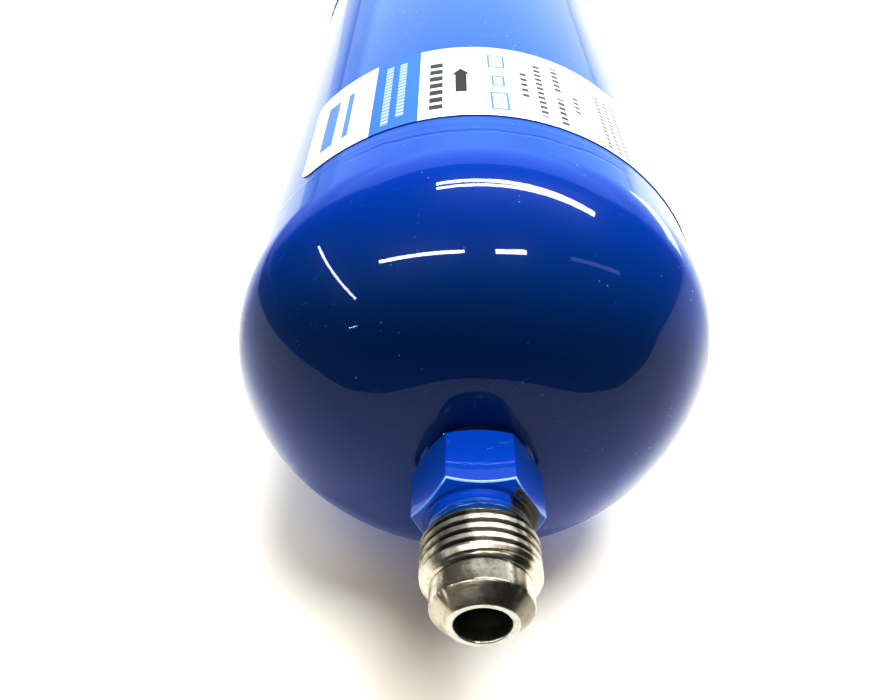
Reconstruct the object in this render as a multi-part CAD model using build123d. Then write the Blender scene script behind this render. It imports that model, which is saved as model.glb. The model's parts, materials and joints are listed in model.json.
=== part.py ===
from build123d import *
import os
from math import atan2, cos, degrees, pi, radians, sin, sqrt, tan

# Filter drier, liquid line, 3/8 in SAE flare both ends. Millimetres.
# The drier's axis is Y, the inlet nose is at -Y, the label faces +Z and the origin is its middle.

# ---- Driving dimensions: shell ----
OVERALL_LENGTH = 246.0      # inlet nose to outlet nose
SHELL_OD = 76.2             # 3 in tube size
SHELL_WALL = 1.6
DOME_DEPTH = 23.9           # flat pad to tangent line, outside
DOME_PAD_R = 6.4            # flat in the middle of each end
DOME_KNUCKLE_R = 12.6       # outside, where the dome turns into the cylinder
CAP_SKIRT = 14.0            # straight part of the outlet cap
WELD_LAND = 0.5             # square root of the butt joint
WELD_BEVEL_DEG = 30.0
WELD_WIDTH = 4.6
WELD_CROWN = 0.7            # bead standing proud of the shell

# ---- Driving dimensions: flare fittings ----
BORE_R = 3.57
NOSE_FACE_R = 4.45          # flat ring round the bore, inside the 45 degree flare seat
NOSE_EDGE = 0.25            # small break inside the bore's mouth
LEAD_R = 6.6                # plain cylinder in front of the thread
LEAD_LENGTH = 2.5
THREAD_R = 7.9375           # 5/8-18 UNF, major radius
THREAD_LENGTH = 8.3
NECK_R = 6.75               # relief between thread and hexagon
NECK_LENGTH = 2.75
HEX_AF = 15.875             # 5/8 in across flats
HEX_LENGTH = 9.6
HEX_FACE_SHARE = 0.95       # turned face of the hexagon, as a share of its flats
HEX_CHAMFER_DEG = 30.0
COLLAR_R = 7.3              # short shoulder that stands on the dome
COLLAR_LENGTH = 0.4
SPIGOT_R = 6.3              # goes through the shell
SPIGOT_STANDOUT = 1.4       # beyond the shell's inner face
SPIGOT_FIT = 0.05
COUNTERBORE_R = 4.5
COUNTERBORE_DEPTH = 4.0
BRAZE_LEG = 1.3             # braze fillet on the dome, from the collar outwards
BRAZE_TOP = 0.55            # braze fillet's width under the hexagon

# ---- Driving dimensions: label ----
LABEL_THICKNESS = 0.12
LABEL_LIFT = 0.02           # adhesive film
LABEL_OFFSET = 9.9          # tangent line of the inlet dome to the label's near edge
LABEL_HEIGHT = 27.6
LABEL_LEFT_DEG = 45.2       # round the shell from the top line, towards -X
LABEL_RIGHT_DEG = 96.0      # towards +X
LABEL_CORNER_R = 2.6

# ---- Driving dimensions: what the shell holds ----
SEAT_CLEARANCE = 0.05       # faces that bear on each other
FLOW_GAP = 2.5              # wrapped core to shell wall
WRAP_THICKNESS = 0.8
CORE_EDGE = 2.0
CORE_BORE_R = 11.0          # at the open end of the core
CORE_FLOOR = 25.0           # solid end beyond the blind bore
CORE_DRAFT_DEG = 1.2        # mould draft of the bore
CORE_FLUTE_R = 2.4
CORE_FLUTES = 10
WRAP_MARGIN = 0.5           # bare ends of the core beyond the wrap
PLATE_THICKNESS = 1.2
SUPPORT_LIP = 3.0           # lip that centres the core
SUPPORT_SLIP = 0.25
SUPPORT_DISH = 4.6
SUPPORT_FLANGE = 3.6        # flat ring that carries the gasket
SUPPORT_DRAW = 1.0          # radial run of the dish's sloping wall
GASKET_THICKNESS = 1.5
GASKET_INSET = 8.0          # gasket's width inwards from the lip
GAUZE_THICKNESS = 0.4
INLET_FELT_THICKNESS = 3.0
FELT_SIDE_GAP = 0.3         # pads and gauzes inside what surrounds them
HOLE_R = 2.75               # perforations
SUPPORT_HOLES = (6, 12, 18) # holes in each ring, from the middle out
BOSS_HOLES = (6,)
SPRING_PLATE_HOLES = (12, 18)
SPRING_WIRE_D = 2.2
SPRING_SMALL_R = 15.0       # mean radius of the coil on the plate
SPRING_LARGE_R = 27.5       # mean radius of the coil in the dome
SPRING_TURNS = 2.5          # active turns
SPRING_FLAT = 0.75          # turns wound flat at each end
SPRING_FITTED_LENGTH = 24.0 # middle of the first flat coil to the middle of the last
SPRING_CLEARANCE = 0.15     # flat coils to dome and plate
SPRING_BOSS_RISE = 1.6
TONGUES = 6
TONGUE_WIDTH = 9.0
TONGUE_GAP = 0.2            # tongue tips to shell wall
TONGUE_TURN = 3.0           # length of the turned-down tips
DIFFUSER_R = 8.6
DIFFUSER_WALL = 0.8
DIFFUSER_DEPTH = 6.0
DIFFUSER_FLANGE = 2.6
DIFFUSER_WINDOWS = 6
DIFFUSER_WINDOW_W = 4.6
DIFFUSER_WINDOW_H = 3.0
STRAINER_WALL = 0.35
STRAINER_FIT = 0.06
STRAINER_LENGTH = 11.0      # beyond the spigot's end
STRAINER_FLANGE = 0.9

# ---- Worked out ----
shell_r = SHELL_OD / 2
inner_r = shell_r - SHELL_WALL
nose_y = -OVERALL_LENGTH / 2
seat_y = nose_y + (LEAD_R - NOSE_FACE_R)
thread_y = seat_y + LEAD_LENGTH
neck_y = thread_y + THREAD_LENGTH
hex_y = neck_y + NECK_LENGTH
collar_y = hex_y + HEX_LENGTH
pad_y = collar_y + COLLAR_LENGTH
tangent_y = pad_y + DOME_DEPTH
joint_y = -tangent_y - CAP_SKIRT
spigot_end_y = pad_y + SHELL_WALL + SPIGOT_STANDOUT

# The crown arc is tangent to the pad and to the knuckle arc.
knuckle_x = shell_r - DOME_KNUCKLE_R
crown_run = knuckle_x - DOME_PAD_R
crown_r = (crown_run**2 + DOME_DEPTH**2 - DOME_KNUCKLE_R**2) / (2 * (DOME_DEPTH - DOME_KNUCKLE_R))
crown_y = pad_y + crown_r
crown_end_deg = degrees(atan2(tangent_y - crown_y, crown_run))

# Radii of the core and of what centres it.
wrap_r = inner_r - FLOW_GAP
core_r = wrap_r - WRAP_THICKNESS - SEAT_CLEARANCE
lip_r = wrap_r + SUPPORT_SLIP
flange_r = lip_r + PLATE_THICKNESS
dish_r = lip_r - SUPPORT_FLANGE - SUPPORT_DRAW
boss_r = SPRING_SMALL_R - SPRING_WIRE_D / 2 - FELT_SIDE_GAP

# The support plate's flange seats on the outlet knuckle, and the core stands on it.
knuckle_in_r = DOME_KNUCKLE_R - SHELL_WALL
seat_depth = sqrt(knuckle_in_r**2 - (flange_r - knuckle_x) ** 2)
flange_y = -tangent_y + seat_depth - SEAT_CLEARANCE - PLATE_THICKNESS
core_end_y = flange_y - GASKET_THICKNESS

# The spring's large coil seats in the inlet dome, and its small coil on the plate.
coil_reach = crown_r - SHELL_WALL - SPRING_WIRE_D / 2 - SPRING_CLEARANCE
spring_start_y = crown_y - sqrt(coil_reach**2 - (SPRING_LARGE_R - DOME_PAD_R) ** 2)
spring_end_y = spring_start_y + SPRING_FITTED_LENGTH
plate_face_y = spring_end_y + SPRING_WIRE_D / 2 + SPRING_CLEARANCE
plate_y = plate_face_y + PLATE_THICKNESS
core_start_y = plate_y + GAUZE_THICKNESS + INLET_FELT_THICKNESS


def turned(*outline):
    """Solid turned about the drier's axis from a closed outline of (radius, y)."""
    edges = [edge for line in outline for edge in line.edges()]
    return revolve(make_face(edges), Axis.Y, 360)


def turned_polygon(*points):
    return turned(Polyline(*points, close=True))


def rod(radius, y_from, y_to):
    """Plain cylinder along the axis."""
    return turned_polygon((0, y_from), (radius, y_from), (radius, y_to), (0, y_to))


def around(count, solid):
    """Copies of a solid, evenly spaced round the axis."""
    return [Rot(0, turn * 360 / count, 0) * solid for turn in range(count)]


def outlet_side(solid):
    """The same piece at the other end, turned end for end."""
    return Rot(0, 0, 180) * solid


def dome_arcs(depth):
    """Crown and knuckle arcs of the inlet dome, depth below the outer surface."""
    crown = CenterArc((DOME_PAD_R, crown_y), crown_r - depth, -90, 90 + crown_end_deg)
    knuckle = CenterArc((knuckle_x, tangent_y), DOME_KNUCKLE_R - depth, crown_end_deg, -crown_end_deg)
    return crown, knuckle


def drawn_cup(rim_y):
    """Domed cup open at rim_y, its rim bevelled for the weld, pierced for the fitting's spigot."""
    bevel = (SHELL_WALL - WELD_LAND) * tan(radians(WELD_BEVEL_DEG))
    outside = dome_arcs(0)
    inside = dome_arcs(SHELL_WALL)
    wall = Polyline(
        (shell_r, tangent_y),
        (shell_r, rim_y - bevel),
        (inner_r + WELD_LAND, rim_y),
        (inner_r, rim_y),
        (inner_r, tangent_y),
    )
    pad = Polyline(
        (DOME_PAD_R, pad_y + SHELL_WALL), (0, pad_y + SHELL_WALL), (0, pad_y), (DOME_PAD_R, pad_y)
    )
    cup = turned(*outside, *inside, wall, pad)
    return cup - rod(SPIGOT_R + SPIGOT_FIT, pad_y - SHELL_WALL, pad_y + 2 * SHELL_WALL)


def girth_weld():
    """Bead that fills the bevelled joint and stands a little proud of the shell."""
    bevel = (SHELL_WALL - WELD_LAND) * tan(radians(WELD_BEVEL_DEG))
    half = max(WELD_WIDTH / 2, bevel)
    crown = ThreePointArc(
        (shell_r, joint_y - half), (shell_r + WELD_CROWN, joint_y), (shell_r, joint_y + half)
    )
    groove = Polyline(
        (shell_r, joint_y + half),
        (shell_r, joint_y + bevel),
        (inner_r + WELD_LAND, joint_y),
        (shell_r, joint_y - bevel),
        (shell_r, joint_y - half),
    )
    return turned(crown, groove)


def flare_fitting():
    """Inlet fitting: flare seat, thread blank, relief, hexagon, collar and spigot on one bore."""
    run_in = (THREAD_R - LEAD_R) * tan(radians(HEX_CHAMFER_DEG))
    spigot_break = (SPIGOT_R - COUNTERBORE_R) / 4
    blank = turned_polygon(
        (0, nose_y),
        (NOSE_FACE_R, nose_y),
        (LEAD_R, seat_y),
        (LEAD_R, thread_y),
        (THREAD_R, thread_y + run_in),
        (THREAD_R, neck_y - (THREAD_R - NECK_R)),
        (NECK_R, neck_y),
        (NECK_R, hex_y),
        (COLLAR_R, hex_y + HEX_LENGTH / 2),
        (COLLAR_R, pad_y),
        (SPIGOT_R, pad_y),
        (SPIGOT_R, spigot_end_y - spigot_break),
        (SPIGOT_R - spigot_break, spigot_end_y),
        (0, spigot_end_y),
    )
    bore = turned_polygon(
        (0, nose_y),
        (BORE_R + NOSE_EDGE, nose_y),
        (BORE_R, nose_y + NOSE_EDGE),
        (BORE_R, spigot_end_y - COUNTERBORE_DEPTH - (COUNTERBORE_R - BORE_R)),
        (COUNTERBORE_R, spigot_end_y - COUNTERBORE_DEPTH),
        (COUNTERBORE_R, spigot_end_y),
        (0, spigot_end_y),
    )
    return blank + hexagon() - bore


def hexagon():
    """Wrench hexagon with a flat on top, turned back to a cone at both faces."""
    corner_r = HEX_AF / sqrt(3)
    face_r = HEX_FACE_SHARE * HEX_AF / 2
    back_r = HEX_AF / 2
    slope = tan(radians(HEX_CHAMFER_DEG))
    prism = extrude(
        Plane.XZ.offset(-hex_y) * RegularPolygon(HEX_AF / 2, 6, major_radius=False), -HEX_LENGTH
    )
    cones = turned_polygon(
        (0, hex_y),
        (face_r, hex_y),
        (corner_r, hex_y + (corner_r - face_r) * slope),
        (corner_r, collar_y - (corner_r - back_r) * slope),
        (back_r, collar_y),
        (0, collar_y),
    )
    return prism & cones


def braze_ring():
    """Fillet that fills the corner between the hexagon's collar and the dome."""
    foot_r = COLLAR_R + BRAZE_LEG
    top_r = COLLAR_R + BRAZE_TOP
    ring = turned_polygon(
        (COLLAR_R, collar_y),
        (top_r, collar_y),
        (foot_r, pad_y + COLLAR_LENGTH),
        (foot_r, pad_y + DOME_DEPTH / 2),
        (COLLAR_R, pad_y + DOME_DEPTH / 2),
    )
    crown, knuckle = dome_arcs(0)
    axis_side = Polyline((shell_r, tangent_y), (0, tangent_y), (0, pad_y), (DOME_PAD_R, pad_y))
    return ring - turned(crown, knuckle, axis_side)


def label():
    """Thin wrap on the cylinder, its corners rounded."""
    near_y = tangent_y + LABEL_OFFSET
    inside_r = shell_r + LABEL_LIFT
    middle = (inside_r + LABEL_THICKNESS / 2, near_y + LABEL_HEIGHT / 2)
    strip = Pos(*middle) * Rectangle(LABEL_THICKNESS, LABEL_HEIGHT)
    wrap = revolve(strip, Axis.Y, LABEL_LEFT_DEG + LABEL_RIGHT_DEG)
    corners = wrap.edges().filter_by(lambda e: abs(e.length - LABEL_THICKNESS) < LABEL_THICKNESS / 10)
    wrap = fillet(corners, min(LABEL_CORNER_R, LABEL_HEIGHT / 3))
    return Rot(0, -90 - LABEL_LEFT_DEG, 0) * wrap


def perforations(from_r, to_r, counts, y_from, y_to):
    """Drills for rings of so many holes each, spread evenly between two radii."""
    drill = rod(HOLE_R, y_from, y_to)
    step = (to_r - from_r) / len(counts)
    drills = []
    for ring, count in enumerate(counts):
        drills += around(count, Pos(from_r + step * (ring + 0.5), 0, 0) * drill)
    return drills


def support_plate():
    """Dished plate: lip and flange centre and carry the core, the dish holds felt and gauze."""
    t = PLATE_THICKNESS
    bottom_y = flange_y + SUPPORT_DISH
    plate = turned_polygon(
        (0, bottom_y),
        (dish_r, bottom_y),
        (dish_r + SUPPORT_DRAW, flange_y),
        (lip_r, flange_y),
        (lip_r, flange_y - SUPPORT_LIP),
        (flange_r, flange_y - SUPPORT_LIP),
        (flange_r, flange_y + t),
        (dish_r + SUPPORT_DRAW + t, flange_y + t),
        (dish_r + t, bottom_y + t),
        (0, bottom_y + t),
    )
    middle = rod(HOLE_R, bottom_y - t, bottom_y + 2 * t)
    return plate - middle - perforations(HOLE_R, dish_r, SUPPORT_HOLES, bottom_y - t, bottom_y + 2 * t)


def spring_plate():
    """Flat perforated plate with a pressed boss inside the spring and turned-down tongues."""
    t = PLATE_THICKNESS
    tip_r = inner_r - TONGUE_GAP
    tongue = Pos(tip_r / 2, (plate_face_y + plate_y) / 2, 0) * Box(tip_r, t, TONGUE_WIDTH)
    tip = Pos(tip_r - t / 2, plate_y + TONGUE_TURN / 2, 0) * Box(t, TONGUE_TURN, TONGUE_WIDTH)
    disc = rod(core_r, plate_face_y, plate_y)
    boss = rod(boss_r, plate_face_y - SPRING_BOSS_RISE, plate_y)
    hollow = rod(boss_r - t, plate_face_y - SPRING_BOSS_RISE + t, plate_y)
    plate = disc + around(TONGUES, tongue) + around(TONGUES, tip) + boss - hollow
    plate = plate & rod(tip_r, plate_face_y - 2 * SPRING_BOSS_RISE, plate_y + TONGUE_TURN)
    above_y = plate_face_y - 2 * SPRING_BOSS_RISE
    below_y = plate_y + t
    seat_out = SPRING_SMALL_R + SPRING_WIRE_D / 2
    plate -= rod(HOLE_R, above_y, below_y)
    plate -= perforations(HOLE_R, boss_r - t, BOSS_HOLES, above_y, below_y)
    return plate - perforations(seat_out, core_r, SPRING_PLATE_HOLES, above_y, below_y)


def gauze(radius, y_from):
    return rod(radius, y_from, y_from + GAUZE_THICKNESS)


def felt_pad(radius, y_from, y_to):
    """Felt disc with softened edges."""
    soft = min(y_to - y_from, radius) / 5
    return turned_polygon(
        (0, y_from),
        (radius - soft, y_from),
        (radius, y_from + soft),
        (radius, y_to - soft),
        (radius - soft, y_to),
        (0, y_to),
    )


def drier_core():
    """Moulded core: bevelled edges, outside flutes and a blind drafted bore open to the outlet."""
    body = turned_polygon(
        (0, core_start_y),
        (core_r - CORE_EDGE, core_start_y),
        (core_r, core_start_y + CORE_EDGE),
        (core_r, core_end_y - CORE_EDGE),
        (core_r - CORE_EDGE, core_end_y),
        (0, core_end_y),
    )
    bore_floor_y = core_start_y + CORE_FLOOR
    floor_r = CORE_BORE_R - (core_end_y - bore_floor_y) * tan(radians(CORE_DRAFT_DEG))
    bore = turned_polygon(
        (0, bore_floor_y - floor_r / 2),
        (floor_r / 2, bore_floor_y - floor_r / 3),
        (floor_r, bore_floor_y),
        (CORE_BORE_R, core_end_y),
        (0, core_end_y),
    )
    flute = Rot(90, 0, 0) * Cylinder(CORE_FLUTE_R, OVERALL_LENGTH)
    flute = Pos(core_r + CORE_FLUTE_R / 3, 0, 0) * flute
    return body - bore - around(CORE_FLUTES, flute)


def core_wrap():
    """Glass-fibre sleeve drawn over the core."""
    wrap_start_y = core_start_y + WRAP_MARGIN
    wrap_end_y = core_end_y - WRAP_MARGIN
    sleeve = rod(wrap_r, wrap_start_y, wrap_end_y)
    return sleeve - rod(wrap_r - WRAP_THICKNESS, wrap_start_y, wrap_end_y)


def core_gasket():
    """Flat ring between the core's open end and the support plate."""
    ring = rod(lip_r - FELT_SIDE_GAP, core_end_y, flange_y)
    return ring - rod(lip_r - FELT_SIDE_GAP - GASKET_INSET, core_end_y, flange_y)


def coil_point(turn):
    """Point on the spring's wire after so many turns from its large end."""
    done = min(max((turn - SPRING_FLAT) / SPRING_TURNS, 0), 1)
    ease = done * done * (3 - 2 * done)
    radius = SPRING_LARGE_R + (SPRING_SMALL_R - SPRING_LARGE_R) * ease
    y = spring_start_y + (spring_end_y - spring_start_y) * ease
    return radius * cos(2 * pi * turn), y, radius * sin(2 * pi * turn)


def core_spring():
    """Conical spring: a flat coil in the dome, open turns, a flat coil on the plate."""
    arcs_per_turn = 6
    arcs = []
    for step in range(round((SPRING_TURNS + 2 * SPRING_FLAT) * arcs_per_turn)):
        start, middle, end = [coil_point((step + part) / arcs_per_turn) for part in (0, 0.5, 1)]
        arcs.append(ThreePointArc(start, middle, end).edge())
    path = Wire(arcs)
    wire = Plane(origin=path @ 0, z_dir=path % 0) * Circle(SPRING_WIRE_D / 2)
    return sweep(wire, path, transition=Transition.RIGHT)


def inlet_diffuser():
    """Cup over the inlet spigot: flanged foot against the dome, windows round its wall."""
    foot_r = DIFFUSER_R + DIFFUSER_FLANGE
    inside_crown = crown_r - SHELL_WALL
    foot_y = crown_y - sqrt(inside_crown**2 - (foot_r - DOME_PAD_R) ** 2) + SEAT_CLEARANCE
    top_y = foot_y + DIFFUSER_DEPTH
    t = DIFFUSER_WALL
    cup = turned_polygon(
        (DIFFUSER_R - t, foot_y),
        (foot_r, foot_y),
        (foot_r, foot_y + t),
        (DIFFUSER_R, foot_y + t),
        (DIFFUSER_R, top_y),
        (0, top_y),
        (0, top_y - t),
        (DIFFUSER_R - t, top_y - t),
    )
    window_y = (foot_y + t + top_y - t) / 2
    window = Pos(DIFFUSER_R, window_y, 0) * Box(4 * t, DIFFUSER_WINDOW_H, DIFFUSER_WINDOW_W)
    return cup - around(DIFFUSER_WINDOWS, window)


def outlet_strainer():
    """Gauze thimble whose skirt fits the spigot's counterbore; built at the inlet end."""
    outer_r = COUNTERBORE_R - STRAINER_FIT
    inside_r = outer_r - STRAINER_WALL
    skirt_y = spigot_end_y - COUNTERBORE_DEPTH + SEAT_CLEARANCE
    tip_y = spigot_end_y + STRAINER_LENGTH
    t = STRAINER_WALL
    dome_out = ThreePointArc(
        (outer_r, tip_y - outer_r),
        (outer_r * sin(pi / 4), tip_y - outer_r + outer_r * cos(pi / 4)),
        (0, tip_y),
    )
    dome_in = ThreePointArc(
        (0, tip_y - t),
        (inside_r * sin(pi / 4), tip_y - outer_r + inside_r * cos(pi / 4)),
        (inside_r, tip_y - outer_r),
    )
    outside = Polyline(
        (inside_r, skirt_y),
        (outer_r, skirt_y),
        (outer_r, spigot_end_y),
        (outer_r + STRAINER_FLANGE, spigot_end_y),
        (outer_r + STRAINER_FLANGE, spigot_end_y + t),
        (outer_r, spigot_end_y + t),
        (outer_r, tip_y - outer_r),
    )
    axis_line = Line((0, tip_y), (0, tip_y - t))
    inside = Line((inside_r, tip_y - outer_r), (inside_r, skirt_y))
    return turned(outside, dome_out, axis_line, dome_in, inside)


pad_side_r = dish_r - FELT_SIDE_GAP
dish_floor_y = flange_y + SUPPORT_DISH

pieces = {
    "shell_body": drawn_cup(joint_y),
    "outlet_cap": outlet_side(drawn_cup(-joint_y)),
    "girth_weld": girth_weld(),
    "inlet_fitting": flare_fitting(),
    "outlet_fitting": outlet_side(flare_fitting()),
    "inlet_braze_ring": braze_ring(),
    "outlet_braze_ring": outlet_side(braze_ring()),
    "label": label(),
    "inlet_diffuser": inlet_diffuser(),
    "core_spring": core_spring(),
    "spring_plate": spring_plate(),
    "inlet_gauze": gauze(core_r - FELT_SIDE_GAP, plate_y),
    "inlet_felt_pad": felt_pad(core_r - FELT_SIDE_GAP, plate_y + GAUZE_THICKNESS, core_start_y),
    "drier_core": drier_core(),
    "core_wrap": core_wrap(),
    "core_gasket": core_gasket(),
    "outlet_felt_pad": felt_pad(pad_side_r, flange_y, dish_floor_y - GAUZE_THICKNESS),
    "outlet_gauze": gauze(pad_side_r, dish_floor_y - GAUZE_THICKNESS),
    "outlet_support_plate": support_plate(),
    "outlet_strainer": outlet_side(outlet_strainer()),
}

os.makedirs("parts", exist_ok=True)
for name, piece in pieces.items():
    export_step(piece, f"parts/{name}.step")
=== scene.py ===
import json
from math import atan2, cos, hypot, pi, radians, sin, tan

import bmesh
import bpy
from mathutils import Matrix, Vector, noise

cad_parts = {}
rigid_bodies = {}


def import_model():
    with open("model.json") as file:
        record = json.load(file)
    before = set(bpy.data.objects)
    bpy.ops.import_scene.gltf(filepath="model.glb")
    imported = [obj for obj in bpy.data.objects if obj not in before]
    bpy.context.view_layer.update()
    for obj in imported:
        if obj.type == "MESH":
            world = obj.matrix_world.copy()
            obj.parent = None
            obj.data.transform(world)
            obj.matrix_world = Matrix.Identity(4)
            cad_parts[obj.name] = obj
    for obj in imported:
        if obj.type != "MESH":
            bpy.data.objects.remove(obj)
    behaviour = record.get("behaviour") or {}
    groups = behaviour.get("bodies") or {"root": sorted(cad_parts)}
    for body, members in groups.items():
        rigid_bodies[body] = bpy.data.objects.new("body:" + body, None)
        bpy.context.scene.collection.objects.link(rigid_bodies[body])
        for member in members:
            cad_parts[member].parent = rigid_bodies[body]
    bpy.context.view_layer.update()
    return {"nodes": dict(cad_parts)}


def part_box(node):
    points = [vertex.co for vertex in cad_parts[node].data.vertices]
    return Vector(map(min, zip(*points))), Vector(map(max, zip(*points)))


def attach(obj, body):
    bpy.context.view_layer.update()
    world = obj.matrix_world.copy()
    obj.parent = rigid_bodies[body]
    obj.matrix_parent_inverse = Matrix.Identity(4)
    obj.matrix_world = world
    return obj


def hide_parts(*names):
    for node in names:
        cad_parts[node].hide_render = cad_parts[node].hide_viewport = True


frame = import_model()
nodes = frame["nodes"]
scene = bpy.context.scene

MM = 0.001

# ------------------------------------------------------------------ sizes
# Metres. The drier lies along Y with its inlet nose at -Y and its label on top.

SHELL_R = 38.1 * MM
NOSE_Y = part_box("inlet_fitting")[0].y
LABEL_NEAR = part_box("label")[0].y
WELD_NEAR, WELD_FAR = (corner.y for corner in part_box("girth_weld"))
WELD_PROUD_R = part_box("girth_weld")[1].x

# The flare fitting, from the nose inwards.
BORE_R = 3.57 * MM
NOSE_FACE_R = 4.45 * MM
LEAD_R = 6.6 * MM
LEAD_END = NOSE_Y + 5.05 * MM
THREAD_CREST_R = 7.88 * MM
THREAD_ROOT_R = 7.1 * MM
THREAD_PITCH = 25.4 * MM / 18
FIRST_CREST_Y = NOSE_Y + 6.27 * MM
THREAD_END = NOSE_Y + 12.95 * MM
NECK_R = 6.75 * MM
RIDGE_Y = NOSE_Y + 14.0 * MM
HEX_START = NOSE_Y + 15.7 * MM
HEX_END = NOSE_Y + 25.3 * MM
HEX_FLAT_R = 7.9375 * MM
HEX_FACE_R = 0.95 * HEX_FLAT_R
HEX_CHAMFER = tan(radians(30))
COLLAR_R = 7.3 * MM
PAD_Y = NOSE_Y + 25.7 * MM
SPIGOT_R = 6.3 * MM
SPIGOT_END = NOSE_Y + 28.7 * MM
COUNTERBORE_R = 4.5 * MM
COUNTERBORE_Y = SPIGOT_END - 4.0 * MM
PAINT_EDGE_Y = NOSE_Y + 11.85 * MM
NOSE_ROUND = 0.16 * MM
# Dents in the flare seat: millimetres behind the nose, degrees from the top, size and depth.
DENTS = [(1.9, -52, 0.7, 0.28), (2.0, 46, 0.5, 0.16), (1.7, 160, 0.6, 0.2)]

# The drawn cups, from the flat pad round the spigot to the weld.
SHELL_WALL = 1.6 * MM
PAD_R = 6.4 * MM
KNUCKLE_R = 12.6 * MM
TANGENT_Y = PAD_Y + 23.9 * MM
JOINT_Y = -TANGENT_Y - 14.0 * MM
RIM_BEVEL = 1.1 * MM * tan(radians(30))

# Pieces inside.
GAUZE_PITCH = 1.5 * MM
SLEEVE_THICK = 0.8 * MM
CORE_FLUTES = 10

# Columns of points round a turned mesh.
FITTING_COLUMNS = 144
CUP_COLUMNS = 192
PAD_COLUMNS = 96
SLEEVE_COLUMNS = 120


# ------------------------------------------------------------------ node trees


class Wire:
    """A node's output that takes Python's own arithmetic."""

    def __init__(self, tree, socket):
        self.tree = tree
        self.socket = socket

    def __add__(self, other):
        return self.tree.maths("ADD", self, other)

    def __sub__(self, other):
        return self.tree.maths("SUBTRACT", self, other)

    def __rsub__(self, other):
        return self.tree.maths("SUBTRACT", other, self)

    def __mul__(self, other):
        return self.tree.maths("MULTIPLY", self, other)

    def __truediv__(self, other):
        return self.tree.maths("DIVIDE", self, other)

    def __pow__(self, other):
        return self.tree.maths("POWER", self, other)

    def __gt__(self, other):
        return self.tree.maths("GREATER_THAN", self, other)

    def __lt__(self, other):
        return self.tree.maths("LESS_THAN", self, other)

    __radd__ = __add__
    __rmul__ = __mul__


class Tree:
    """A node tree being written."""

    def __init__(self, tree):
        self.tree = tree
        self.tree.nodes.clear()

    def node(self, kind, settings=None, *values, out=0, **sockets):
        """Any node: its settings first, then its sockets' values or links, by place or by name."""
        made = self.tree.nodes.new(kind)
        for key, value in (settings or {}).items():
            setattr(made, key, value)
        named = [(key.replace("_", " "), value) for key, value in sockets.items()]
        for key, value in list(enumerate(values)) + named:
            if value is not None:
                self.feed(made.inputs[key], value)
        return Wire(self, made.outputs[out]) if made.outputs else None

    def feed(self, socket, value):
        if isinstance(value, Wire):
            self.tree.links.new(value.socket, socket)
        elif socket.type == "RGBA":
            socket.default_value = (*value, 1.0)
        else:
            socket.default_value = value

    def parts(self, vector):
        """A vector's three numbers."""
        split = self.node("ShaderNodeSeparateXYZ", None, vector).socket.node
        return [Wire(self, output) for output in split.outputs]

    def vector(self, x, y, z):
        return self.node("ShaderNodeCombineXYZ", None, x, y, z)

    def maths(self, operation, *values):
        return self.node("ShaderNodeMath", {"operation": operation}, *values)

    def over(self, operation, *values, out=0):
        """Vector maths."""
        return self.node("ShaderNodeVectorMath", {"operation": operation}, *values, out=out)

    def step(self, value, low, high, bottom=0.0, top=1.0):
        """Smooth step from bottom, at low, to top, at high."""
        settings = {"interpolation_type": "SMOOTHSTEP"}
        return self.node("ShaderNodeMapRange", settings, value, low, high, bottom, top)

    def band(self, value, low, high, soft):
        """1 between low and high, with soft edges outside them."""
        return self.step(value, low - soft, low) * self.step(value, high + soft, high)


class Finish(Tree):
    """A material that is read from the drier's own coordinates."""

    def __init__(self, name):
        self.material = bpy.data.materials.new(name)
        self.material.use_nodes = True
        super().__init__(self.material.node_tree)
        self.place = self.node("ShaderNodeTexCoord", out="Object")
        self.x, self.y, self.z = self.parts(self.place)

    def noise(self, size, detail=2.0, roughness=0.5, vector=None, distortion=0.0):
        """Soft noise from 0 to 1 in lumps of about size metres."""
        place = self.place if vector is None else vector
        return self.node(
            "ShaderNodeTexNoise",
            None,
            Vector=place,
            Scale=1 / size,
            Detail=detail,
            Roughness=roughness,
            Distortion=distortion,
        )

    def cells(self, size, out="Distance"):
        """Distance from the nearest of scattered points, in cells of about size metres."""
        return self.node("ShaderNodeTexVoronoi", None, Vector=self.place, Scale=1 / size, out=out)

    def lots(self, size):
        """A number from 0 to 1 for each cell of cells(size)."""
        return self.node("ShaderNodeSeparateColor", None, self.cells(size, "Color"))

    def turn(self):
        """The angle round the drier's axis, 0 at the top and growing towards +X."""
        return self.maths("ARCTAN2", self.x, self.z)

    def stretched(self, x, y, z):
        return self.over("MULTIPLY", self.place, (x, y, z))

    def mix(self, share, first, second):
        """Two colours mixed. The node's sockets for numbers and vectors are skipped."""
        skipped = [None] * 5
        return self.node("ShaderNodeMix", {"data_type": "RGBA"}, share, *skipped, first, second, out=2)

    def bump(self, height, distance, strength=1.0, under=None):
        return self.node(
            "ShaderNodeBump", None, Height=height, Distance=distance, Strength=strength, Normal=under
        )

    def done(self, **sockets):
        """Closes the material with one principled shader."""
        shader = self.node("ShaderNodeBsdfPrincipled", None, **sockets)
        self.node("ShaderNodeOutputMaterial", None, Surface=shader)
        return self.material


def modified(mesh, kind, settings, inputs=()):
    """The plain mesh that one modifier makes of this one."""
    carrier = bpy.data.objects.new("carrier", mesh)
    scene.collection.objects.link(carrier)
    modifier = carrier.modifiers.new(kind, kind)
    for key, value in settings.items():
        setattr(modifier, key, value)
    for identifier, value in inputs:
        modifier[identifier] = value
    bpy.context.view_layer.update()
    evaluated = carrier.evaluated_get(bpy.context.evaluated_depsgraph_get())
    made = bpy.data.meshes.new_from_object(evaluated)
    carrier.modifiers.remove(modifier)
    bpy.data.objects.remove(carrier)
    return made


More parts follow.
